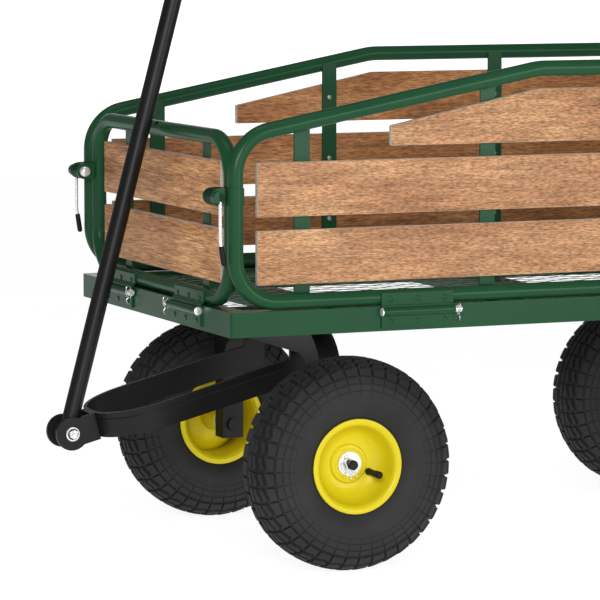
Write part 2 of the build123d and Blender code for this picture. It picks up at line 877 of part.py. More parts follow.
def gate(name, end, face, rail, levels):
    """end is 1 at the handle end and -1 at the back; face is the gate's outer surface."""
    tube_x = face - end * tube_radius
    slat_face = tube_x + end * gate_slat_ahead
    corners = [
        (gate_tube, panel_base),
        (gate_tube, rail),
        (-gate_tube, rail),
        (-gate_tube, panel_base),
    ]
    with BuildPart() as frame:
        tube_loop(Plane.YZ.offset(tube_x), corners, [tube_corner] * 4)
        for y in (gate_post_offset, -gate_post_offset):
            with BuildSketch(Plane.YZ.offset(slat_face - end * slat_thickness)):
                with Locations((y, (panel_base + rail) / 2)):
                    Rectangle(post_width, rail - panel_base)
            extrude(amount=-end * post_thickness)
        for plane in hinge_places[name]:
            upper_leaf(plane, gate_inset)
    save(frame, f"{name}_gate_frame")
    reach = gate_tube - tube_radius - slat_end_gap
    with BuildPart() as slats:
        for level in levels:
            outline = [(reach, level), (reach, level + slat_height), (-reach, level + slat_height), (-reach, level)]
            slat(Plane.YZ.offset(slat_face), outline, -end * slat_thickness)
    save(slats, f"{name}_gate_slats")


front_face = deck_front - gate_inset
rear_face = deck_rear + gate_inset
gate("front", 1, front_face, front_gate_rail, slat_levels[:2])
gate("rear", -1, rear_face, rear_gate_rail, slat_levels)


# Corner latches: a folded fork on the gate's tube, a bolt, and a cam with a wire lever
fork_outer = gate_tube + tube_radius + latch_outboard
fork_inner = fork_outer - latch_width
fork_step = gate_tube + tube_radius - latch_sheet
keeper_front = gate_inset + keeper_sheet
cam_radius = latch_bolt_ahead - keeper_front - seat - cam_throw
cam_outer = fork_outer + seat + cam_thickness


def fork_plate(face, end, side, ahead, reach, inner, outer):
    """An upright block on the gate's face, from one distance ahead of it to another."""
    with BuildSketch(Plane.YZ.offset(face + end * ahead)) as block:
        with Locations((side * (inner + outer) / 2, latch_height)):
            Rectangle(outer - inner, latch_band)
    extrude(block.sketch, amount=end * (reach - ahead))


def latch_brackets(name, end, face):
    bolt_x = face + end * latch_bolt_ahead
    stand_off = keeper_front + seat
    with BuildPart() as piece:
        for side in (1, -1):
            fork_plate(face, end, side, running, running + latch_sheet, fork_inner, fork_step + latch_sheet)
            fork_plate(face, end, side, running, stand_off + latch_sheet, fork_step, fork_step + latch_sheet)
            fork_plate(face, end, side, stand_off, stand_off + latch_sheet, fork_step, fork_outer)
            fork_plate(face, end, side, running, latch_bolt_ahead, fork_inner, fork_inner + latch_sheet)
            fork_plate(face, end, side, stand_off, latch_bolt_ahead, fork_outer - latch_sheet, fork_outer)
            for outer_face in (fork_outer, fork_inner + latch_sheet):
                with BuildSketch(Plane.XZ.offset(-side * outer_face)):
                    with Locations((bolt_x, latch_height)):
                        Circle(latch_ear_radius)
                    with Locations((face + end * (stand_off - latch_ear_radius), latch_height)):
                        Rectangle(2 * latch_ear_radius, 2 * latch_ear_radius, mode=Mode.SUBTRACT)
                extrude(amount=side * latch_sheet)
                with BuildSketch(Plane.XZ.offset(-side * outer_face)):
                    with Locations((bolt_x, latch_height)):
                        Circle(latch_bolt_radius + running)
                extrude(amount=side * latch_sheet, mode=Mode.SUBTRACT)
    save(piece, f"{name}_latch_brackets")
    with BuildPart() as bolts:
        for side in (1, -1):
            with BuildSketch(Plane.XZ.offset(-side * (cam_outer + seat))):
                with Locations((bolt_x, latch_height)):
                    Circle(latch_bolt_radius)
            extrude(amount=side * (latch_width + cam_thickness + latch_nut + 2 * seat))
            with BuildSketch(Plane.XZ.offset(-side * fork_inner)):
                with Locations((bolt_x, latch_height)):
                    Circle(latch_nut_radius)
            extrude(amount=side * latch_nut)
            with BuildSketch(Plane.XZ.offset(-side * (cam_outer + seat))):
                with Locations((bolt_x, latch_height)):
                    Circle(latch_head_radius)
            extrude(amount=-side * latch_head)
    save(bolts, f"{name}_latch_bolts")


def latch_lever(name, end, face, side):
    bolt_x = face + end * latch_bolt_ahead
    wire_y = side * (cam_outer - cam_thickness / 2)
    tip = latch_height - lever_drop
    kick = bolt_x - end * lever_kick
    bend = tip + lever_grip_length + lever_kick
    with BuildPart() as lever:
        with BuildSketch(Plane.XZ.offset(-side * cam_outer)):
            with Locations((bolt_x - end * cam_throw, latch_height)):
                Circle(cam_radius)
            with Locations((bolt_x, latch_height)):
                Circle(latch_bolt_radius + running, mode=Mode.SUBTRACT)
        extrude(amount=side * cam_thickness)
        with BuildLine(Plane.XZ.offset(-wire_y)) as wire:
            FilletPolyline(
                (bolt_x, latch_height - cam_radius + lever_radius),
                (bolt_x, bend + lever_slant),
                (kick, bend),
                (kick, tip + lever_radius),
                radius=4 * lever_radius,
            )
        with BuildSketch(Plane(origin=wire.line @ 0, z_dir=wire.line % 0)):
            Circle(lever_radius)
        sweep(path=wire.line)
    save(lever, f"{name}_latch_lever")
    with BuildPart() as grip:
        with BuildSketch(Plane.XY.offset(tip)):
            with Locations((kick, wire_y)):
                Circle(lever_grip_radius)
        extrude(amount=lever_grip_length)
        with BuildSketch(Plane.XY.offset(tip + lever_radius)):
            with Locations((kick, wire_y)):
                Circle(lever_radius + press)
        extrude(amount=lever_grip_length, mode=Mode.SUBTRACT)
    save(grip, f"{name}_lever_grip")


for name, end, face in (("front", 1, front_face), ("rear", -1, rear_face)):
    latch_brackets(name, end, face)
    latch_lever(f"{name}_left", end, face, 1)
    latch_lever(f"{name}_right", end, face, -1)
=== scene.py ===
import bmesh
import bpy
import json
from math import cos, pi, radians, sin
from mathutils import Matrix, Vector


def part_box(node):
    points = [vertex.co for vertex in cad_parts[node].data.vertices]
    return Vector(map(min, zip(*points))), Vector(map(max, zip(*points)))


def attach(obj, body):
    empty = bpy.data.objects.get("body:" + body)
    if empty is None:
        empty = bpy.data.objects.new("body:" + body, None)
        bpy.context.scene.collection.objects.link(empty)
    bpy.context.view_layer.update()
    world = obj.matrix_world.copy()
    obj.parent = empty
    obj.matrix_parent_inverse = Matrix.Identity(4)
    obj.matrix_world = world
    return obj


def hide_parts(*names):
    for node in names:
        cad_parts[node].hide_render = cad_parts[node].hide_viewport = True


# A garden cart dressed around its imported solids.
# Metres, +X the handle end, +Y the cart's left, +Z up. Lists of (along, radius) points are in mm.
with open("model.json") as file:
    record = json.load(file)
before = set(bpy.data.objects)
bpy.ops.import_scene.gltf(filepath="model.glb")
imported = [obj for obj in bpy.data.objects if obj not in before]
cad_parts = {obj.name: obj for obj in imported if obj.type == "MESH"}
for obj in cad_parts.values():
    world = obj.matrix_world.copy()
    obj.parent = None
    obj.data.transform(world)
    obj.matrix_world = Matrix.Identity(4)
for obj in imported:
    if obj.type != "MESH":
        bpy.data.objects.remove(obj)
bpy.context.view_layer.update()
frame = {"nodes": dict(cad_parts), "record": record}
nodes = frame["nodes"]
joints = frame["record"]["behaviour"]["joints"]
joint_at = {joint["name"]: Vector(joint["pos_m"]) for joint in joints}
mm = 0.001
touching = 1e-6
same_place = 0.1 * mm
bpy.context.scene.view_settings.view_transform = "Standard"

# The photograph's view, measured from the deck's front face on the floor's middle line
camera_from_deck = Vector((1602.82, 4212.55, 797.04)) * mm
camera_azimuth = radians(156.85)
camera_elevation = radians(6.13)
camera_lens = 219.15
camera_sensor = 36.0
camera_reach = 100.0

WHEELS = ("front_left", "front_right", "rear_left", "rear_right")
ENDS = ("front", "rear")
SIDES = (("left", 1), ("right", -1))
GATES = (("front", 1, 2), ("rear", -1, 3))  # name, which way it faces, how many slats
deck_low, deck_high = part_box("deck_frame")
deck_front = deck_high.x
deck_rear = deck_low.x
deck_side = deck_high.y
deck_middle = (deck_front + deck_rear) / 2

# Facets round each kind of turned piece, and the angle past which an edge stays sharp
wire_steps = 8
bead_steps = 10
lever_steps = 12
rivet_steps = 14
stem_steps = 20
hub_steps = 24
pin_steps = 28
stub_steps = 32
drum_steps = 40
rim_steps = 96
bend_steps = 8
plain_sharp = 40.0
tread_sharp = 28.0
rim_sharp = 35.0
strand_sharp = 30.0
nut_sharp = 25.0

# Tyres: the sidewall's (across, radius) points, then each row of lugs from the sidewall to the crown,
# as the (across, radius) where it ends, the lugs' height and half the groove between two of them
lug_count = 40
steps_per_lug = 4
sidewall = [(31.2, 53.5), (31.2, 58.6), (34.6, 62.0), (39.2, 69.0), (41.7, 77.0), (42.4, 86.0)]
tread_rows = [
    (42.0, 93.0, 0.5, 0.3),
    (40.9, 101.0, 0.8, 0.4),
    (38.2, 109.5, 1.4, 0.5),
    (31.4, 121.0, 3.4, 1.1),
    (21.5, 127.0, 4.2, 1.9),
    (11.0, 129.6, 4.0, 1.8),
    (2.0, 130.0, 3.6, 1.5),
]
lug_slope = 0.4 * mm
far_half_shift = 0.5
row_reach = 1.5 * mm
zigzag = 1.7 * mm
zigzag_rows = (3, 4)
zigzag_swing = (0.0, 1.0, 0.0, -1.0)
zigzag_across = 0.8
zigzag_inward = 0.5
carcass = [(10.0, 119.0), (29.0, 107.0), (34.0, 84.0), (23.4, 58.0), (23.4, 53.5)]

# Rims: (outward, radius) points round the pressed steel, from the outer lip
# over the dish to the hub and back
rim_section = [
    (31.6, 57.4), (32.6, 57.9), (33.5, 57.7), (34.0, 56.8), (34.0, 54.6), (33.2, 51.8),
    (31.6, 49.9), (29.0, 48.5), (24.0, 47.2), (18.0, 45.2), (12.5, 42.0), (8.2, 37.5),
    (5.4, 32.2), (4.2, 27.0), (4.1, 24.6), (4.9, 23.7), (6.4, 23.2), (7.2, 22.2),
    (7.4, 18.6), (8.0, 17.8), (8.0, 13.05), (-42.5, 13.05), (-42.5, 15.5), (1.6, 15.5),
    (1.6, 27.2), (2.8, 32.6), (5.8, 38.6), (10.5, 43.6), (16.0, 46.6), (-28.5, 47.5),
    (-31.5, 49.6), (-34.0, 52.0), (-34.0, 56.8), (-33.3, 57.9), (-31.6, 57.4),
    (-31.5, 53.0), (-28.5, 50.0), (28.5, 50.0), (31.5, 53.0),
]

# Axles: (outward, radius) points of one stub, and the cotter wire through it
stub_section = [
    (-77.8, 0), (-77.8, 8.0), (-73.8, 8.0), (-73.8, 6.0), (21.0, 6.0), (22.2, 4.8), (22.2, 0),
]
stub_radius = 6.0 * mm
cotter_place = 17.0 * mm
cotter_wire = 1.1 * mm
cotter_drop = 16.0 * mm
cotter_loop = 3.6 * mm
cotter_lean = radians(22.0)
axle_body = {"front": "front_axle", "rear": "deck"}

# Floor: expanded metal welded under the deck's flange
diamond_length = 50.0 * mm
diamond_width = 28.0 * mm
strand = 2.2 * mm
strand_height = 0.7 * mm
flange_bottom = 321.0 * mm
weld_gap = 0.05 * mm

# Slats
side_slats = 3
slat_height = 64.6 * mm
slat_pitch = 80.7 * mm
slat_edge_round = 1.1 * mm
edge_segments = 2
flat_on = 0.75
top_slat_start = 211.0 * mm
top_slat_nose = 24.0 * mm
rail_kink = 407.0 * mm

# Rivets
rivet_radius = 3.6 * mm
post_rivet = 3.1 * mm
rivet_height = 1.3 * mm
rivet_sink = 0.4 * mm
upper_rivets = 331.0 * mm
lower_rivets = 304.0 * mm
lower_leaf = 2.5 * mm
side_leaf = 2.0 * mm
gate_leaf = -1.5 * mm
post = 3.0 * mm
post_count = 4
post_spacing = 244.5 * mm
gate_post = 133.0 * mm
side_hinge = 241.0 * mm
gate_hinge = 117.0 * mm
rivet_spread = 36.0 * mm
leaf_rivets = (-rivet_spread, 0.0, rivet_spread)

# Hinge pins and their spring clips: the pin's offset from the deck's face, half its length
# between the knuckles' ends, then its head and tip
pin_offset = 5.2 * mm
pin_half = 47.6 * mm
pin_radius = 2.85 * mm
pin_tip = 4.2 * mm
pin_overhang = 9.0 * mm
pin_head = 5.1 * mm
head_thick = 2.0 * mm
head_round = 1.0 * mm
head_bevel = 0.7 * mm
tip_step = 0.1 * mm
tip_round = 0.8 * mm
clip_place = 52.1 * mm
clip_radius = 0.65 * mm
clip_leg = 12.0 * mm
clip_reach = 6.2 * mm
clip_flare = radians(50.0)
clip_nip = 1.5 * mm
clip_nip_turn = radians(100.0)
clip_tail = 4.0 * mm
clip_tail_turn = radians(170.0)

# Valves: (along, radius) points of the stem's foot, and of its cap back from the tip
stem_foot = [(0, 0), (0, 4.4), (5.0, 4.4), (9.0, 4.0)]
stem_cap = [(-14.0, 3.8), (-13.5, 4.4), (-2.0, 4.4), (-0.6, 3.6), (0, 2.0), (0, 0)]

# Corner latches
fork_width = 27.2 * mm
fork_sheet = 2.5 * mm
drum_radius = 9.6 * mm
drum_tuck = 0.3 * mm
latch_nut = [
    (-7.0, 0), (-7.0, 3.0), (-6.0, 5.2), (-4.4, 6.5), (-3.0, 6.8), (-0.05, 6.8), (-0.05, 2.9),
]
latch_pin = 2.9 * mm
cam_half = 4.0 * mm
cam_radius = 7.5 * mm
cam_ahead = 2.6 * mm
cam_hub = 5.0 * mm
cam_round = 0.8 * mm
lever_radius = 2.0 * mm
lever_tuck = 1.5 * mm
lever_bend = 50.0 * mm
lever_end = 79.0 * mm
lever_kick = 4.5 * mm
grip_past_lever = 2.0 * mm
grip_length = 24.0 * mm
grip_section = [
    (0, 2.0), (0, 2.4), (0.7, 3.0), (4.0, 3.2), (20.0, 3.3), (22.8, 2.8), (23.8, 1.6), (24.0, 0),
    (22.4, 0), (22.4, 2.0),
]

# Tongue and handle
tongue_pitch = radians(14.5)
tongue_half = 78.0 * mm
tongue_setback = 34.0 * mm
tongue_bend = 69.0 * mm
tongue_reach = 270.0 * mm
bead_radius = 1.3 * mm
bead_level = 8.0 * mm
rib_pitch = 4.0 * mm
rib_depth = 0.9 * mm
rib_shape = ((0.25, 0.0), (0.5, 0.0), (0.7, rib_depth), (0.95, rib_depth))
sleeve_bore = 9.6 * mm
sleeve_plain_end = 4.0 * mm
sleeve_end_drop = 2.0 * mm
sleeve_shoulder = 1.5 * mm
sleeve_shoulder_drop = 0.3 * mm
gate_inset = 3.5 * mm
tube_radius = 9.5 * mm
gate_rail = 526.0 * mm
rest_stud_level = 6.6 * mm
rest_stud_shift = -1.5 * mm
rest_stud_radius = 3.0 * mm
rest_stud_height = 1.8 * mm

# Handle pivot: (outward, radius) points of the bolt's head beyond the far ear, then of the flange
# and of the stud's end beyond the near ear
bolt_head = [(-4.0, 0), (-4.0, 5.6), (-2.4, 7.4), (-0.1, 7.6), (-0.1, 5.9)]
nut_flange = [(0.1, 5.9), (0.1, 8.8), (1.8, 8.8), (2.4, 8.2), (2.4, 7.1), (0.6, 7.1), (0.6, 0)]
stud_end = [(6.0, 0), (6.0, 3.2), (8.1, 3.2), (9.0, 2.3), (9.0, 0)]
groove_floor = 0.6 * mm
nut_radius = 6.0 * mm
nut_depth = 6.2 * mm
nut_middle = 3.6 * mm
nut_round = 0.5 * mm

# Stage: the lit sheets' half sizes and glow, then each softbox's place, aim, size and power
table_size = 30.0
table_glow = 0.90
wall_size = 2.6
wall_glow = 1.05
wall_distance = 9.0
room_glow = 0.2
SOFTBOXES = {
    "key_light": ((1.9, 3.9, 1.5), (0, 0, 0.35), (1.6, 1.2), 118.0),
    "fill_light": ((-1.9, 4.2, 0.85), (0, 0, 0.4), (1.8, 1.3), 68.0),
    "top_light": ((0.5, 0.5, 4.5), (0, 0, 0.4), (2.5, 2.0), 30.0),
}


# Materials
def shader(name, roughness, metallic=0.0, shine=0.5):
    """A new material, its node tree, its main shader and its object coordinates."""
    material = bpy.data.materials.new(name)
    material.use_nodes = True
    tree = material.node_tree
    main = tree.nodes["Principled BSDF"]
    main.inputs["Roughness"].default_value = roughness
    main.inputs["Metallic"].default_value = metallic
    main.inputs["Specular IOR Level"].default_value = shine
    place = tree.nodes.new("ShaderNodeTexCoord").outputs["Object"]
    return material, tree, main, place


def mapped(tree, place, scale, turn=(0, 0, 0)):
    node = tree.nodes.new("ShaderNodeMapping")
    node.inputs["Scale"].default_value = scale
    node.inputs["Rotation"].default_value = turn
    tree.links.new(place, node.inputs["Vector"])
    return node.outputs["Vector"]


def noise(tree, place, scale, detail=3.0, distortion=0.0):
    node = tree.nodes.new("ShaderNodeTexNoise")
    node.inputs["Scale"].default_value = scale
    node.inputs["Detail"].default_value = detail
    node.inputs["Distortion"].default_value = distortion
    tree.links.new(place, node.inputs["Vector"])
    return node.outputs["Fac"]


def ramp(tree, value, stops):
    node = tree.nodes.new("ShaderNodeValToRGB")
    elements = node.color_ramp.elements
    while len(elements) < len(stops):
        elements.new(0.5)
    for element, (at, colour) in zip(elements, stops):
        element.position = at
        element.color = (*colour, 1.0)
    tree.links.new(value, node.inputs["Fac"])
    return node.outputs["Color"]


def multiplied(tree, share, first, second):
    node = tree.nodes.new("ShaderNodeMix")
    node.data_type = "RGBA"
    node.blend_type = "MULTIPLY"
    node.inputs["Factor"].default_value = share
    tree.links.new(first, node.inputs["A"])
    tree.links.new(second, node.inputs["B"])
    return node.outputs["Result"]


def ranged(tree, value, low, high):
    node = tree.nodes.new("ShaderNodeMapRange")
    node.inputs["To Min"].default_value = low
    node.inputs["To Max"].default_value = high
    tree.links.new(value, node.inputs["Value"])
    return node.outputs["Result"]


def bumped(tree, main, height, strength, distance):
    node = tree.nodes.new("ShaderNodeBump")
    node.inputs["Strength"].default_value = strength
    node.inputs["Distance"].default_value = distance
    tree.links.new(height, node.inputs["Height"])
    tree.links.new(node.outputs["Normal"], main.inputs["Normal"])


def grey(value):
    return (value, value, value)


def enamel(name, dark, light, roughness, peel, shine=0.5):
    """Sprayed paint: a slow drift of tone, a slow change of gloss and a fine orange peel."""
    material, tree, main, place = shader(name, roughness, shine=shine)
    drift = noise(tree, place, scale=7.0, detail=2.0)
    tree.links.new(ramp(tree, drift, [(0.3, dark), (0.7, light)]), main.inputs["Base Color"])
    gloss = ranged(tree, noise(tree, place, scale=31.0), roughness - 0.04, roughness + 0.04)
    tree.links.new(gloss, main.inputs["Roughness"])
    pits = noise(tree, place, scale=420.0, detail=1.0)
    bumped(tree, main, pits, strength=peel, distance=0.4 * mm)
    return material


def plated(name, dark, light, roughness, metallic):
    """Bright plate with faint drawn lines."""
    material, tree, main, place = shader(name, roughness, metallic)
    lines = noise(tree, mapped(tree, place, (300.0, 900.0, 300.0)), scale=1.0, detail=2.0)
    tree.links.new(ramp(tree, lines, [(0.3, dark), (0.7, light)]), main.inputs["Base Color"])
    gloss = ranged(tree, lines, roughness - 0.05, roughness + 0.08)
    tree.links.new(gloss, main.inputs["Roughness"])
    return material


def rubber(name, dark, light, roughness, grain):
    """Dull rubber: a slow drift of tone and a fine grain."""
    material, tree, main, place = shader(name, roughness, shine=0.15)
    drift = noise(tree, place, scale=14.0)
    tree.links.new(ramp(tree, drift, [(0.3, dark), (0.75, light)]), main.inputs["Base Color"])
    pits = noise(tree, place, scale=grain, detail=2.0)
    bumped(tree, main, pits, strength=0.12, distance=0.5 * mm)
    return material


def hardwood(name, turn, tones, fleck):
    """Oiled boards: slow patches, bands of figure, short flecks and dark pores along the grain."""
    material, tree, main, place = shader(name, 0.6, shine=0.25)
    along = mapped(tree, place, (1.0, 1.0, 1.0), turn)

    def figure(stretch, across, detail, distortion=0.0):
        return noise(tree, mapped(tree, along, (stretch, across, across)), 1.0, detail, distortion)

    patches = figure(6.0, 20.0, detail=3.0, distortion=0.8)
    base = ramp(tree, patches, list(zip((0.30, 0.50, 0.72), tones)))
    bands = figure(16.0, 170.0, detail=3.0, distortion=0.7)
    banded = ramp(tree, bands, [(0.34, grey(0.78)), (0.50, grey(0.98)), (0.66, grey(1.16))])
    flecks = figure(fleck, 780.0, detail=2.0, distortion=0.3)
    dark_fleck, light_fleck = (0.60, 0.53, 0.48), (1.34, 1.36, 1.34)
    flecked = ramp(tree, flecks, [(0.34, dark_fleck), (0.50, grey(0.98)), (0.66, light_fleck)])
    pores = figure(150.0, 1000.0, detail=2.0)
    pored = ramp(tree, pores, [(0.34, grey(0.45)), (0.46, grey(1.0))])
    tone = multiplied(tree, 1.0, base, banded)
    tone = multiplied(tree, 1.0, tone, flecked)
    tone = multiplied(tree, 0.7, tone, pored)
    tree.links.new(tone, main.inputs["Base Color"])
    tree.links.new(ranged(tree, flecks, 0.5, 0.7), main.inputs["Roughness"])
    bumped(tree, main, pores, strength=0.25, distance=0.4 * mm)
    return material


def cut_edge(name):
    """The pale sawn edges of the boards."""
    material, tree, main, place = shader(name, 0.75)
    grain = noise(tree, mapped(tree, place, (60.0, 60.0, 500.0)), scale=1.0, detail=3.0)
    pale = ramp(tree, grain, [(0.3, (0.44, 0.38, 0.30)), (0.7, (0.62, 0.57, 0.49))])
    tree.links.new(pale, main.inputs["Base Color"])
    bumped(tree, main, grain, strength=0.2, distance=0.4 * mm)
    return material


green = enamel(
    "green_enamel", (0.010, 0.054, 0.022), (0.014, 0.066, 0.028),
    roughness=0.25, peel=0.02, shine=0.10,
)
# A darker copy of the green enamel: painted shade on the latch drums and the cam hubs.
shaded_latch_green = enamel(
    "shaded_latch_green", (0.004, 0.022, 0.010), (0.007, 0.032, 0.015),
    roughness=0.5, peel=0.03, shine=0.06,
)
black = enamel("black_satin", grey(0.005), grey(0.009), roughness=0.42, peel=0.05, shine=0.2)
yellow = enamel(
    "yellow_gloss", (0.57, 0.465, 0.005), (0.645, 0.53, 0.008),
    roughness=0.34, peel=0.04, shine=0.25,
)
zinc = plated("bright_zinc", grey(0.68), grey(0.88), roughness=0.24, metallic=0.6)
clip_wire = plated("clip_wire", grey(0.34), grey(0.50), roughness=0.3, metallic=1.0)
rivet_steel = plated(
    "rivet_steel", (0.30, 0.27, 0.24), (0.42, 0.38, 0.34), roughness=0.5, metallic=1.0
)
tyre_rubber = rubber("tyre_rubber", grey(0.018), grey(0.028), roughness=0.62, grain=900.0)
soft_rubber = rubber("soft_rubber", grey(0.005), grey(0.010), roughness=0.5, grain=1500.0)
outer_tones = ((0.300, 0.140, 0.068), (0.386, 0.198, 0.096), (0.486, 0.278, 0.138))
gate_tones = ((0.40, 0.185, 0.085), (0.51, 0.255, 0.115), (0.62, 0.345, 0.160))
# Darker copies of the wood for the boards' inner faces: painted shade.
shaded_inner_tones = ((0.270, 0.110, 0.037), (0.350, 0.152, 0.056), (0.450, 0.212, 0.086))
quarter_turn = (0, 0, pi / 2)
long_wood = hardwood("hardwood_along", (0, 0, 0), outer_tones, fleck=150.0)
cross_wood = hardwood("hardwood_across", quarter_turn, gate_tones, fleck=45.0)
shaded_long_wood = hardwood("hardwood_along_shaded", (0, 0, 0), shaded_inner_tones, fleck=90.0)
shaded_cross_wood = hardwood("hardwood_across_shaded", quarter_turn, shaded_inner_tones, fleck=45.0)
board_edge = cut_edge("sawn_edge")
FINISHES = {
    "green_paint": green,
    "black_steel": black,
    "rim_yellow": yellow,
    "zinc": zinc,
    "tyre": tyre_rubber,
    "black_rubber": soft_rubber,
    "wood": long_wood,
}
for part in frame["record"]["subparts"]:
    for place in nodes[part["node"]].material_slots:
        place.material = FINISHES[part["material_slot"]]


# Mesh tools
def finish_piece(name, shape, materials, body, replaced=(), sharp=plain_sharp):
    """Make the shape a piece that rides a body, in place of the nodes it replaces."""
    mesh = bpy.data.meshes.new(name)
    shape.to_mesh(mesh)
    shape.free()
    for material in materials:
        mesh.materials.append(material)
    mesh.shade_smooth()
    mesh.set_sharp_from_angle(angle=radians(sharp))
    piece = bpy.data.objects.new(name, mesh)
    bpy.context.scene.collection.objects.link(piece)
    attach(piece, body)
    if replaced:
        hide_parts(*replaced)


def lathe(shape, profile, centre, axis, steps, closed=False):
    """Spin (along, radius) points round an axis through centre."""
    axis = Vector(axis).normalized()
    across = axis.orthogonal().normalized()
    ring = [shape.verts.new(Vector(centre) + axis * a + across * r) for a, r in profile]
    edges = [shape.edges.new(pair) for pair in zip(ring, ring[1:])]
    if closed:
        edges.append(shape.edges.new((ring[-1], ring[0])))
    start = set(shape.verts) - set(ring)
    bmesh.ops.spin(
        shape, geom=ring + edges, cent=Vector(centre), axis=axis, angle=2 * pi, steps=steps,
        use_merge=True,
    )
    made = [v for v in shape.verts if v not in start]
    bmesh.ops.remove_doubles(shape, verts=made, dist=touching)
    made = [v for v in shape.verts if v not in start]
    faces = list({f for v in made for f in v.link_faces})
    bmesh.ops.recalc_face_normals(shape, faces=faces)


def close_ends(shape):
    """Cap every open end, then turn the faces outward."""
    bmesh.ops.holes_fill(shape, edges=[edge for edge in shape.edges if edge.is_boundary], sides=0)
    bmesh.ops.recalc_face_normals(shape, faces=shape.faces[:])


def dome(shape, at, outward, radius, height):
    """A round rivet head standing on a face."""
    profile = [
        (-rivet_sink, 0), (-rivet_sink, radius), (0.3 * height, radius),
        (0.8 * height, 0.7 * radius), (height, 0),
    ]
    lathe(shape, profile, at, outward, rivet_steps)


def rod(shape, start, ahead, radius, moves, steps=lever_steps):
    """A round rod with capped ends. A number runs it on; (bend radius, axis, angle) turns it."""
    at = Vector(start)
    ahead = Vector(ahead).normalized()
    place = Matrix.Translation(at) @ ahead.to_track_quat("Z", "Y").to_matrix().to_4x4()
    ring = bmesh.ops.create_circle(shape, segments=steps, radius=radius, matrix=place)["verts"]
    edges = list({edge for vert in ring for edge in vert.link_edges})
    for move in moves:
        if isinstance(move, float):
            grown = bmesh.ops.extrude_edge_only(shape, edges=edges)["geom"]
            ring = [part for part in grown if isinstance(part, bmesh.types.BMVert)]
            bmesh.ops.translate(shape, verts=ring, vec=ahead * move)
            at = at + ahead * move
        else:
            bend, axis, angle = move
            axis = Vector(axis).normalized()
            centre = at + axis.cross(ahead) * bend
            swept = bmesh.ops.spin(
                shape, geom=ring + edges, cent=centre, axis=axis, angle=angle, steps=bend_steps
            )
            ring = [part for part in swept["geom_last"] if isinstance(part, bmesh.types.BMVert)]
            turn = Matrix.Rotation(angle, 3, axis)
            at = centre + turn @ (at - centre)
            ahead = turn @ ahead
        kept = set(ring)
        beside = {edge for vert in ring for edge in vert.link_edges}
        edges = [edge for edge in beside if kept.issuperset(edge.verts)]
    close_ends(shape)


def in_metres(points, shift=0.0):
    """The mm points in metres, moved on along the axis by the shift."""
    return [(shift + a * mm, b * mm) for a, b in points]


# Tyres: a spun casing with raised lugs, the grooves sunk below the finished surface
def casing_outside():
    """The (across, radius) points from bead to crown, sunk by the lugs' height where lugs stand."""
    points = sidewall + [row[:2] for row in tread_rows]
    heights = [0.0] * len(sidewall) + [row[2] for row in tread_rows]
    sunk = []
    for n, (across, radius) in enumerate(points):
        before = points[max(n - 1, 0)]
        after = points[min(n + 1, len(points) - 1)]
        normal = Vector((after[1] - before[1], before[0] - after[0])).normalized()
        next_height = heights[min(n + 1, len(points) - 1)]
        depth = (heights[n] + next_height) / 2 if n >= len(sidewall) - 1 else 0.0
        sunk.append((across - normal.x * depth, radius - normal.y * depth))
    return sunk


def zigzag_grooves(shape, outside):
    """Pull the rings beside the shoulder to and fro round the tyre."""
    step = 2 * pi / (lug_count * steps_per_lug)
    for row in zigzag_rows:
        across, radius = outside[len(sidewall) + row]
        for vert in shape.verts:
            out = Vector((vert.co.x, 0.0, vert.co.z))
            if abs(out.length - radius) > same_place or abs(abs(vert.co.y) - across) > same_place:
                continue
            place = round(Vector((vert.co.x, vert.co.z)).angle_signed(Vector((0.0, 1.0))) / step)
            swing = zigzag_swing[place % steps_per_lug] * zigzag
            vert.co.y += swing * (zigzag_across if vert.co.y > 0 else -zigzag_across)
            vert.co -= out.normalized() * swing * zigzag_inward


def lug_tyre():
    """A tyre round the origin, its axle along Y."""
    outside = in_metres(casing_outside())
    inside = in_metres(carcass)
    profile = outside + [(-a, r) for a, r in reversed(outside)]
    profile += [(-a, r) for a, r in reversed(inside)] + inside
    shape = bmesh.new()
    lathe(shape, profile, (0, 0, 0), (0, 1, 0), lug_count * steps_per_lug, closed=True)
    first = len(sidewall) - 1
    middles = [(Vector(a) + Vector(b)) / 2 for a, b in zip(outside[first:], outside[first + 1:])]
    lugs = {}
    for face in shape.faces:
        middle = face.calc_center_median()
        section = Vector((abs(middle.y), Vector((middle.x, middle.z)).length))
        row = min(range(len(middles)), key=lambda n: (middles[n] - section).length)
        if (middles[row] - section).length > row_reach:
            continue
        turn = Vector((middle.x, middle.z)).angle_signed(Vector((0.0, 1.0))) / (2 * pi) * lug_count
        place = int((turn + (0.0 if middle.y > 0 else far_half_shift)) % lug_count)
        lugs.setdefault((row, middle.y > 0, place), []).append(face)
    zigzag_grooves(shape, outside)
    for lug in sorted(lugs):
        height, groove = (value * mm for value in tread_rows[lug[0]][2:])
        for thickness, depth in ((groove, 0.0), (lug_slope, height)):
            bmesh.ops.inset_region(
                shape, faces=lugs[lug], thickness=thickness, depth=depth, use_even_offset=True,
                use_boundary=True,
            )
    return shape


tyre_master = lug_tyre()
for wheel in WHEELS:
    low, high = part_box(f"{wheel}_tyre")
    tyre = tyre_master.copy()
    bmesh.ops.translate(tyre, verts=tyre.verts, vec=(low + high) / 2)
    finish_piece(
        f"{wheel}_tread_tyre", tyre, [tyre_rubber], f"{wheel}_wheel", [f"{wheel}_tyre"],
        tread_sharp,
    )
tyre_master.free()


# Rims: one spun pressing with a rolled lip, a deep dish and a stepped hub
def rim(wheel):
    hub = joint_at[f"{wheel}_spin"]
    outward = 1 if hub.y > 0 else -1
    shape = bmesh.new()
    lathe(shape, in_metres(rim_section), hub, (0, outward, 0), rim_steps, closed=True)
    finish_piece(
        f"{wheel}_dished_rim", shape, [yellow], f"{wheel}_wheel", [f"{wheel}_rim"],
        rim_sharp,
    )


for wheel in WHEELS:
    rim(wheel)


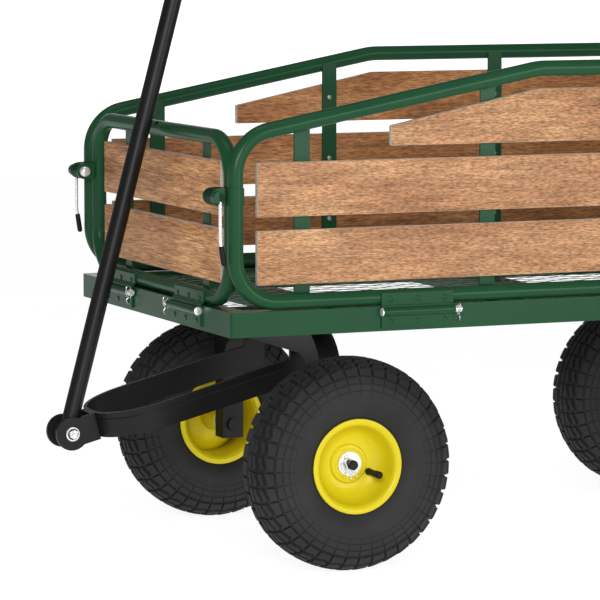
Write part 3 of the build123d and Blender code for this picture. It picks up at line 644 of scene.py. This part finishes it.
# Axles: short stubs with a cotter wire through each end
def stub_axles(name):
    stubs = bmesh.new()
    wires = bmesh.new()
    for side_name, side in SIDES:
        hub = joint_at[f"{name}_{side_name}_spin"]
        out = Vector((0, side, 0))
        lathe(stubs, in_metres(stub_section), hub, out, stub_steps)
        up = Vector((sin(cotter_lean), 0, cos(cotter_lean)))
        foot = hub + out * cotter_place - up * cotter_drop
        leg = cotter_drop + stub_radius
        rod(wires, foot, up, cotter_wire, [leg, (cotter_loop, (0, 1, 0), pi), leg], wire_steps)
    body = axle_body[name]
    finish_piece(f"{name}_stub_axles", stubs, [black], body, [f"{name}_axle"])
    finish_piece(f"{name}_cotter_wires", wires, [zinc], body, [f"{name}_cotter_pins"])


for name in ENDS:
    stub_axles(name)


# Floor: a sheet of diamonds cut to the deck and given strands
def expanded_floor():
    low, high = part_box("deck_mesh")
    middle = (low + high) / 2
    reach = max(high.x - low.x, high.y - low.y)
    cells = int(2 * reach / diamond_width)
    shape = bmesh.new()
    bmesh.ops.create_grid(shape, x_segments=cells, y_segments=cells, size=cells / 2)
    bmesh.ops.rotate(shape, verts=shape.verts, cent=(0, 0, 0), matrix=Matrix.Rotation(pi / 4, 3, "Z"))
    side = 2 ** 0.5
    bmesh.ops.scale(shape, verts=shape.verts, vec=(diamond_length / side, diamond_width / side, 1.0))
    bmesh.ops.translate(shape, verts=shape.verts, vec=middle)
    for point, normal in ((low, (-1, 0, 0)), (low, (0, -1, 0)), (high, (1, 0, 0)), (high, (0, 1, 0))):
        everything = shape.verts[:] + shape.edges[:] + shape.faces[:]
        bmesh.ops.bisect_plane(
            shape, geom=everything, plane_co=point, plane_no=normal, clear_outer=True, dist=touching
        )
    bmesh.ops.wireframe(
        shape, faces=shape.faces[:], thickness=strand, offset=0.0, use_replace=True,
        use_boundary=True, use_even_offset=True,
    )
    level = flange_bottom - strand_height / 2 - weld_gap
    for vert in shape.verts:
        vert.co.z = level + (vert.co.z - middle.z) * strand_height / strand
    finish_piece(
        "expanded_floor", shape, [green], "deck", ["deck_mesh"], strand_sharp
    )


expanded_floor()


# Boards: planed slats with rounded edges and pale sawn edges
def board(shape, outline, thick_axis, low, high):
    """outline is (along, z) points; the board runs from low to high on the axis it is thin along."""
    def point(a, z, t):
        return Vector((a, t, z)) if thick_axis == "y" else Vector((t, a, z))

    ring = [shape.verts.new(point(a, z, low)) for a, z in outline]
    face = shape.faces.new(ring)
    grown = bmesh.ops.extrude_face_region(shape, geom=[face])
    moved = [v for v in grown["geom"] if isinstance(v, bmesh.types.BMVert)]
    bmesh.ops.translate(shape, verts=moved, vec=point(0, 0, high) - point(0, 0, low))
    faces = list({f for v in ring + moved for f in v.link_faces})
    bmesh.ops.recalc_face_normals(shape, faces=faces)
    edges = list({e for f in faces for e in f.edges})
    bmesh.ops.bevel(
        shape, geom=edges, offset=slat_edge_round, offset_type="OFFSET", affect="EDGES",
        segments=edge_segments, profile=0.5, material=-1, clamp_overlap=True,
    )


def mark_faces(shape, outward):
    """Outer faces take the first material, sawn edges the second and inner faces the third, a darker
    wood as painted shade.
    """
    for face in shape.faces:
        facing = face.normal.dot(Vector(outward))
        face.material_index = 0 if facing > flat_on else 2 if facing < -flat_on else 1


def side_boards(name, side):
    low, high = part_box(f"{name}_side_slats")
    shape = bmesh.new()
    for n in range(side_slats - 1):
        z = low.z + slat_pitch * n
        outline = [(low.x, z), (high.x, z), (high.x, z + slat_height), (low.x, z + slat_height)]
        board(shape, outline, "y", low.y, high.y)
    z = low.z + slat_pitch * (side_slats - 1)
    nose = deck_front - top_slat_start
    kink = deck_front - rail_kink
    outline = [
        (low.x, z), (nose, z), (nose, z + top_slat_nose), (kink, z + slat_height),
        (low.x, z + slat_height),
    ]
    board(shape, outline, "y", low.y, high.y)
    mark_faces(shape, (0, side, 0))
    # The inner faces take the darker wood, painted shade.
    woods = [long_wood, board_edge, shaded_long_wood]
    finish_piece(
        f"{name}_side_boards", shape, woods, f"{name}_side", [f"{name}_side_slats"]
    )


def gate_boards(name, end, count):
    low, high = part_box(f"{name}_gate_slats")
    shape = bmesh.new()
    for n in range(count):
        z = low.z + slat_pitch * n
        outline = [(low.y, z), (high.y, z), (high.y, z + slat_height), (low.y, z + slat_height)]
        board(shape, outline, "x", low.x, high.x)
    mark_faces(shape, (end, 0, 0))
    # The inner faces take the darker wood, painted shade.
    woods = [cross_wood, board_edge, shaded_cross_wood]
    finish_piece(
        f"{name}_gate_boards", shape, woods, f"{name}_gate", [f"{name}_gate_slats"]
    )


for name, side in SIDES:
    side_boards(name, side)
for name, end, count in GATES:
    gate_boards(name, end, count)


# Rivets on the posts' inner faces and on the hinge leaves
def show_bright(shape, bright):
    """Bare rivets take the second material, painted ones the first."""
    for face in shape.faces:
        face.material_index = 1 if face in bright else 0


def side_rivets(name, side):
    low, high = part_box(f"{name}_side_slats")
    inner = low.y - post if side > 0 else high.y + post
    shape = bmesh.new()
    for n in range(post_count):
        x = deck_middle + post_spacing * ((post_count - 1) / 2 - n)
        for level in range(side_slats):
            if level == side_slats - 1 and x > deck_front - top_slat_start:
                continue
            z = low.z + slat_pitch * level + slat_height / 2
            dome(shape, (x, inner, z), (0, -side, 0), post_rivet, rivet_height)
    bright = set(shape.faces)
    outer = side * (deck_side + side_leaf)
    for x in (deck_front - side_hinge, deck_rear + side_hinge):
        for shift in leaf_rivets:
            dome(shape, (x + shift, outer, upper_rivets), (0, side, 0), rivet_radius, rivet_height)
    show_bright(shape, bright)
    finish_piece(f"{name}_side_rivets", shape, [green, rivet_steel], f"{name}_side")


def gate_rivets(name, end, levels):
    low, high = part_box(f"{name}_gate_slats")
    inner = low.x - post if end > 0 else high.x + post
    outer = (deck_front if end > 0 else deck_rear) + end * gate_leaf
    shape = bmesh.new()
    for y in (gate_post, -gate_post):
        for level in range(levels):
            z = low.z + slat_pitch * level + slat_height / 2
            dome(shape, (inner, y, z), (-end, 0, 0), post_rivet, rivet_height)
    bright = set(shape.faces)
    for y in (gate_hinge, -gate_hinge):
        for shift in leaf_rivets:
            dome(shape, (outer, y + shift, upper_rivets), (end, 0, 0), rivet_radius, rivet_height)
    show_bright(shape, bright)
    finish_piece(f"{name}_gate_rivets", shape, [green, rivet_steel], f"{name}_gate")


def deck_rivets():
    shape = bmesh.new()
    z = lower_rivets
    for shift in leaf_rivets:
        for _, side in SIDES:
            outer = side * (deck_side + lower_leaf)
            for x in (deck_front - side_hinge, deck_rear + side_hinge):
                dome(shape, (x + shift, outer, z), (0, side, 0), rivet_radius, rivet_height)
        for y in (gate_hinge, -gate_hinge):
            for outer, end in ((deck_front + lower_leaf, 1), (deck_rear - lower_leaf, -1)):
                dome(shape, (outer, y + shift, z), (end, 0, 0), rivet_radius, rivet_height)
    finish_piece("deck_hinge_rivets", shape, [green], "deck")


# Hinge pins with round heads, and a bent spring clip through each pin's tip
def hinge_pin(pins, clips, middle, out, head_way):
    """One pin with its head towards head_way, and its clip bent outward."""
    top = pin_half + head_thick
    bottom = -pin_half - pin_overhang
    profile = [
        (top, 0), (top, pin_head - head_round), (top - head_bevel, pin_head), (pin_half, pin_head),
        (pin_half, pin_radius), (-pin_half, pin_radius), (-pin_half - tip_step, pin_tip),
        (bottom + tip_round, pin_tip), (bottom, pin_tip - tip_round), (bottom, 0),
    ]
    lathe(pins, profile, middle, head_way, pin_steps)
    up = Vector((0, 0, 1))
    outward_turn = up.cross(out)
    start = middle - head_way * clip_place - up * (clip_leg - pin_tip - clip_radius)
    rod(clips, start, up, clip_radius, [
        clip_leg, (clip_reach / 2, outward_turn, pi), pin_tip + clip_radius,
        (clip_reach, outward_turn, clip_flare), (clip_nip, -outward_turn, clip_nip_turn),
        (clip_tail, outward_turn, clip_tail_turn),
    ], wire_steps)


def hinge_pins():
    pins = bmesh.new()
    clips = bmesh.new()
    level = joint_at["left_side_fold"].z
    for _, side in SIDES:
        for x, way in ((deck_front - side_hinge, 1), (deck_rear + side_hinge, -1)):
            middle = Vector((x, side * (deck_side + pin_offset), level))
            hinge_pin(pins, clips, middle, Vector((0, side, 0)), Vector((way, 0, 0)))
    for face, end in ((deck_front, 1), (deck_rear, -1)):
        for way in (1, -1):
            middle = Vector((face + end * pin_offset, way * gate_hinge, level))
            hinge_pin(pins, clips, middle, Vector((end, 0, 0)), Vector((0, way, 0)))
    finish_piece("hinge_bolts", pins, [zinc], "deck", ["hinge_pins"])
    finish_piece("hinge_spring_clips", clips, [clip_wire], "deck", ["hinge_clips"])


hinge_pins()
for name, side in SIDES:
    side_rivets(name, side)
for name, end, count in GATES:
    gate_rivets(name, end, count)
deck_rivets()


# Valves: a rubber stem with a screwed cap
def valve(wheel):
    low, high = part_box(f"{wheel}_valve")
    side = 1 if low.y > 0 else -1
    base = Vector(((low.x + high.x) / 2, low.y if side > 0 else high.y, (low.z + high.z) / 2))
    length = high.y - low.y
    profile = in_metres(stem_foot) + in_metres(stem_cap, shift=length)
    shape = bmesh.new()
    lathe(shape, profile, base, (0, side, 0), stem_steps)
    finish_piece(
        f"{wheel}_valve_stem", shape, [soft_rubber], f"{wheel}_wheel",
        [f"{wheel}_valve"],
    )


for wheel in WHEELS:
    valve(wheel)


# Corner latches: a drum in the gate's fork, its pin, a cam and a wire lever with a rubber grip
def latch_pins(name):
    """The drum between the fork's ears and the pin through it, with a domed nut inside."""
    drums = bmesh.new()
    pins = bmesh.new()
    for side_name, side in SIDES:
        bolt = joint_at[f"{name}_{side_name}_latch"]
        _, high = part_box(f"{name}_latch_brackets")
        inner = Vector((bolt.x, side * (high.y - fork_width), bolt.z))
        out = (0, side, 0)
        start = fork_sheet - drum_tuck
        stop = fork_width - fork_sheet + drum_tuck
        drum = [(start, 0), (start, drum_radius), (stop, drum_radius), (stop, 0)]
        lathe(drums, drum, inner, out, drum_steps)
        reach = fork_width + cam_half
        pin = in_metres(latch_nut) + [(reach, latch_pin), (reach, 0)]
        lathe(pins, pin, inner, out, stub_steps)
    # The drums take the darker green, painted shade.
    finish_piece(f"{name}_latch_drums", drums, [shaded_latch_green], f"{name}_gate")
    finish_piece(f"{name}_latch_pins", pins, [zinc], f"{name}_gate", [f"{name}_latch_bolts"])


def latch_lever(wheel, end):
    """A half-disc cam on its hub, and the wire lever that kicks in towards its grip."""
    bolt = joint_at[f"{wheel}_latch"]
    cam_middle = bolt + Vector((end * cam_ahead, 0, 0))
    shape = bmesh.new()
    lathe(shape, [
        (-cam_half, 0), (-cam_half, cam_radius - cam_round), (cam_round - cam_half, cam_radius),
        (cam_half - cam_round, cam_radius), (cam_half, cam_radius - cam_round), (cam_half, 0),
    ], cam_middle, (0, 1, 0), drum_steps)
    bmesh.ops.bisect_plane(
        shape, geom=shape.verts[:] + shape.edges[:] + shape.faces[:], plane_co=cam_middle,
        plane_no=(-end, 0, 0), clear_outer=True, dist=touching,
    )
    close_ends(shape)
    cam_faces = set(shape.faces)
    hub_face = cam_half - cam_round
    hub = [(-cam_half, 0), (-cam_half, cam_hub), (hub_face, cam_hub), (hub_face, 0)]
    lathe(shape, hub, bolt, (0, 1, 0), hub_steps)
    hub_faces = set(shape.faces) - cam_faces
    drop = lever_end - lever_bend
    slant = Vector((-end * lever_kick, 0, -drop)).normalized()
    lean = Vector((0, 0, -1)).angle(slant)
    start = bolt - Vector((0, 0, cam_hub - lever_tuck))
    straight = lever_bend - cam_hub + lever_tuck
    elbow = (4 * lever_radius, (0, end, 0), lean)
    rod(shape, start, (0, 0, -1), lever_radius, [straight, elbow, drop])
    # The cam's hub takes the darker green, painted shade.
    for face in shape.faces:
        face.material_index = 0 if face in cam_faces else 1 if face in hub_faces else 2
    finish_piece(
        f"{wheel}_cam_lever", shape, [green, shaded_latch_green, zinc], f"{wheel}_lever",
        [f"{wheel}_latch_lever"],
    )
    grip = bmesh.new()
    tip = bolt + Vector((-end * lever_kick, 0, -lever_end))
    foot = tip - slant * (grip_length - grip_past_lever)
    lathe(grip, in_metres(grip_section), foot, slant, stem_steps, closed=True)
    finish_piece(
        f"{wheel}_lever_sleeve", grip, [soft_rubber], f"{wheel}_lever",
        [f"{wheel}_lever_grip"],
    )


for name, end, _ in GATES:
    latch_pins(name)
    for side_name, _ in SIDES:
        latch_lever(f"{name}_{side_name}", end)


# Tongue: a pressed bead along the strap's outer face
def tongue_bead():
    pivot = joint_at["handle_pivot"]
    ahead = Vector((cos(tongue_pitch), 0, -sin(tongue_pitch)))
    up = Vector((sin(tongue_pitch), 0, cos(tongue_pitch)))
    start = pivot - ahead * tongue_reach + Vector((0, tongue_half, 0)) + up * bead_level
    arm = tongue_reach - tongue_setback - tongue_bend
    nose = 2 * (tongue_half - tongue_bend)
    corner = (tongue_bend, -up, pi / 2)
    shape = bmesh.new()
    rod(shape, start, ahead, bead_radius, [arm, corner, nose, corner, arm], bead_steps)
    finish_piece("tongue_bead", shape, [black], "front_axle")


# Handle: a ribbed rubber sleeve on the loop, and a small rubber stud on the gate's rail behind it
def handle_sleeve():
    low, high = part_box("handle_grip")
    half = (high.y - low.y) / 2
    radius = (high.z - low.z) / 2
    count = int(2 * (half - sleeve_plain_end) / rib_pitch)
    rounded_end = [
        (half - sleeve_shoulder, radius - sleeve_shoulder_drop), (half, radius - sleeve_end_drop),
        (half, sleeve_bore),
    ]
    profile = [(-along, out) for along, out in reversed(rounded_end)]
    for n in range(count):
        start = (n - count / 2) * rib_pitch
        profile += [(start + share * rib_pitch, radius - sunk) for share, sunk in rib_shape]
    profile += rounded_end
    shape = bmesh.new()
    lathe(shape, profile, (low + high) / 2, (0, 1, 0), drum_steps, closed=True)
    finish_piece("handle_sleeve", shape, [soft_rubber], "handle", ["handle_grip"])


def rest_stud():
    inward = (tube_radius ** 2 - rest_stud_level ** 2) ** 0.5
    out = Vector((inward, 0, rest_stud_level)).normalized()
    middle = Vector((deck_front - gate_inset - tube_radius, rest_stud_shift, gate_rail))
    shape = bmesh.new()
    dome(shape, middle + out * tube_radius, out, rest_stud_radius, rest_stud_height)
    finish_piece("handle_rest_stud", shape, [soft_rubber], "front_gate")


# Handle pivot: a bolt through the clevis with a flanged nut on the near side, its groove's floor
# painted black as shade
def pivot_fastening():
    ear_low, ear_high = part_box("clevis")
    pivot = joint_at["handle_pivot"]
    near = ear_high.y
    centre = (pivot.x, 0, pivot.z)
    shape = bmesh.new()
    bolt = in_metres(bolt_head, shift=ear_low.y) + in_metres(nut_flange, shift=near)
    lathe(shape, bolt, centre, (0, 1, 0), drum_steps)
    # The groove's floor takes the black: painted shade in the recess.
    for face in shape.faces:
        level = face.calc_center_median().y - near
        if face.normal.y > flat_on and abs(level - groove_floor) < same_place:
            face.material_index = 1
    facing = Matrix.Translation((pivot.x, near + nut_middle, pivot.z))
    facing = facing @ Matrix.Rotation(-pi / 2, 4, "X")
    nut = bmesh.ops.create_cone(
        shape, cap_ends=True, segments=6, radius1=nut_radius, radius2=nut_radius, depth=nut_depth,
        matrix=facing,
    )["verts"]
    nut_edges = list({edge for vert in nut for edge in vert.link_edges})
    bmesh.ops.bevel(
        shape, geom=nut_edges, offset=nut_round, offset_type="OFFSET", affect="EDGES",
        segments=edge_segments, profile=0.5, material=-1, clamp_overlap=True,
    )
    lathe(shape, in_metres(stud_end, shift=near), centre, (0, 1, 0), pin_steps)
    finish_piece(
        "pivot_fastening", shape, [zinc, black], "pivot_bolt", ["handle_pivot_bolt"],
        nut_sharp,
    )


tongue_bead()
pivot_fastening()
handle_sleeve()
rest_stud()


# Stage: a lit white table and wall, soft studio light, the photograph's camera
def camera_back():
    """The direction from the cart to the camera."""
    return Vector((
        sin(camera_azimuth) * cos(camera_elevation),
        -cos(camera_azimuth) * cos(camera_elevation),
        sin(camera_elevation),
    ))


def white_sheet(name, place, size, glow):
    """A large plain sheet of lit white acrylic."""
    shape = bmesh.new()
    bmesh.ops.create_grid(shape, x_segments=1, y_segments=1, size=size)
    bmesh.ops.transform(shape, verts=shape.verts, matrix=place)
    mesh = bpy.data.meshes.new(name)
    shape.to_mesh(mesh)
    shape.free()
    sheet = bpy.data.objects.new(name, mesh)
    bpy.context.scene.collection.objects.link(sheet)
    material, tree, main, spot = shader(name, 0.9, shine=0.0)
    drift = noise(tree, spot, scale=3.0)
    tone = ramp(tree, drift, [(0.3, grey(0.28)), (0.7, grey(0.30))])
    tree.links.new(tone, main.inputs["Base Color"])
    main.inputs["Emission Color"].default_value = (1, 1, 1, 1)
    main.inputs["Emission Strength"].default_value = glow
    mesh.materials.append(material)


def studio():
    white_sheet("lit_table", Matrix.Identity(4), table_size, table_glow)
    behind = camera_back() * -wall_distance
    behind.z = 0.0
    facing = (-behind).to_track_quat("Z", "Y").to_matrix().to_4x4()
    white_sheet("lit_wall", Matrix.Translation(behind) @ facing, wall_size, wall_glow)
    world = bpy.data.worlds.new("studio")
    world.use_nodes = True
    room = world.node_tree.nodes["Background"]
    room.inputs["Color"].default_value = (1, 1, 1, 1)
    room.inputs["Strength"].default_value = room_glow
    bpy.context.scene.world = world


def softbox(name, place, aim, size, power):
    light = bpy.data.lights.new(name, "AREA")
    light.shape = "RECTANGLE"
    light.size = size[0]
    light.size_y = size[1]
    light.energy = power
    lamp = bpy.data.objects.new(name, light)
    lamp.location = place
    lamp.rotation_euler = (Vector(aim) - Vector(place)).to_track_quat("-Z", "Y").to_euler()
    bpy.context.scene.collection.objects.link(lamp)


def photo_camera():
    data = bpy.data.cameras.new("photo_camera")
    data.lens = camera_lens
    data.sensor_width = camera_sensor
    data.clip_end = camera_reach
    camera = bpy.data.objects.new("photo_camera", data)
    back = camera_back()
    camera.location = camera_from_deck + Vector((deck_front, 0, 0))
    camera.rotation_euler = back.to_track_quat("Z", "Y").to_euler()
    bpy.context.scene.collection.objects.link(camera)
    bpy.context.scene.camera = camera


studio()
for name, (place, aim, size, power) in SOFTBOXES.items():
    softbox(name, place, aim, size, power)
photo_camera()
